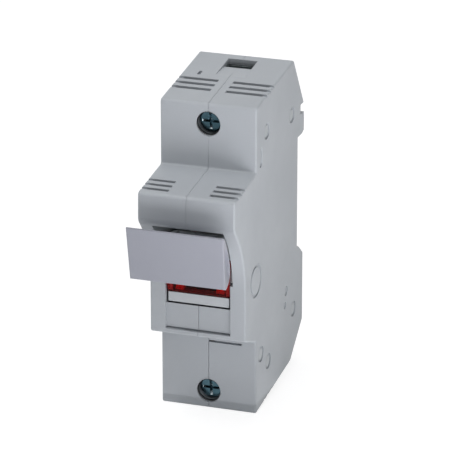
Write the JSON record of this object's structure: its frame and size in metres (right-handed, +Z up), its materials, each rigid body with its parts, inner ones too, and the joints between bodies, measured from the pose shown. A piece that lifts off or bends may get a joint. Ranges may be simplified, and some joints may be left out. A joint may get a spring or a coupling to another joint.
{
  "type": "cartridge fuse holder",
  "caption": "Rail-mounted single-pole holder for a cylindrical cartridge fuse, with a hinged grip lever, indicator window and clamp terminals.",
  "frame": {"origin": "centre of the rail seat, on the plane that touches the mounting rail, mid-width", "axes": "+Z up along the holder's length, the front with the grip lever faces -Y, the rail is on +Y, +X to the right"},
  "size_m": [0.036, 0.0902, 0.1212],
  "materials": {
    "housing": "light grey moulded plastic, fine matt",
    "lever": "light grey moulded plastic, satin",
    "contact": "silver-plated copper alloy",
    "spring_steel": "spring steel",
    "zinc_steel": "zinc-plated steel, bluish passivation",
    "latch": "dark plastic, satin",
    "window": "dark red translucent plastic",
    "board": "green laminate",
    "light": "red light-emitting blocks",
    "ceramic": "white unglazed ceramic",
    "cap": "silver-plated cap",
    "element": "silver strip"
  },
  "bodies": {
    "housing": {"housing_left": "housing", "housing_right": "housing", "housing_rivets": "zinc_steel", "upper_contact": "contact", "upper_jaw_clip": "spring_steel", "lower_contact": "contact", "lower_jaw_clip": "spring_steel"},
    "lever": {"swing_lever": "lever", "grip_plate": "lever", "indicator_window": "window", "indicator_board": "board", "indicator_lights": "light"},
    "carriage": {"fuse_carriage": "latch", "fuse_tube": "ceramic", "fuse_cap_upper": "cap", "fuse_cap_lower": "cap", "fuse_element": "element"},
    "upper_screw": {"upper_clamp_screw": "zinc_steel"},
    "lower_screw": {"lower_clamp_screw": "zinc_steel"},
    "upper_cage": {"upper_clamp_cage": "zinc_steel"},
    "lower_cage": {"lower_clamp_cage": "zinc_steel"},
    "latch": {"rail_latch": "latch", "rail_latch_spring": "spring_steel"}
  },
  "joints": [
    {"name": "lever_swing", "type": "hinge", "parent": "housing", "child": "lever", "pos_m": [0, -0.0473, -0.0178], "axis": [1, 0, 0], "range_deg": [0, 90]},
    {"name": "carriage_draw", "type": "slide", "parent": "lever", "child": "carriage", "axis": [0, 0, -1], "range_m": [0, 0.0105]},
    {"name": "upper_cage_rise", "type": "slide", "parent": "housing", "child": "upper_cage", "axis": [0, -0.9919, -0.1271], "range_m": [0, 0.005]},
    {"name": "upper_screw_turn", "type": "hinge", "parent": "housing", "child": "upper_screw", "pos_m": [0, -0.047, 0.0389], "axis": [0, 0.9919, 0.1271], "range_deg": [0, 1800]},
    {"name": "lower_cage_rise", "type": "slide", "parent": "housing", "child": "lower_cage", "axis": [0, -0.9919, -0.1271], "range_m": [0, 0.005]},
    {"name": "lower_screw_turn", "type": "hinge", "parent": "housing", "child": "lower_screw", "pos_m": [0, -0.047, -0.0627], "axis": [0, 0.9919, 0.1271], "range_deg": [0, 1800]},
    {"name": "latch_slide", "type": "slide", "parent": "housing", "child": "latch", "axis": [0, 0, -1], "range_m": [0, 0.0045], "stiffness_N_per_m": 900, "springref_m": -0.002, "deforming": ["rail_latch_spring"]}
  ],
  "couplings": [
    {"joint": "lever_swing", "follows": "carriage_draw", "rad_per_m": 149.6},
    {"joint": "upper_screw_turn", "follows": "upper_cage_rise", "rad_per_m": 6283.2},
    {"joint": "lower_screw_turn", "follows": "lower_cage_rise", "rad_per_m": 6283.2}
  ]
}
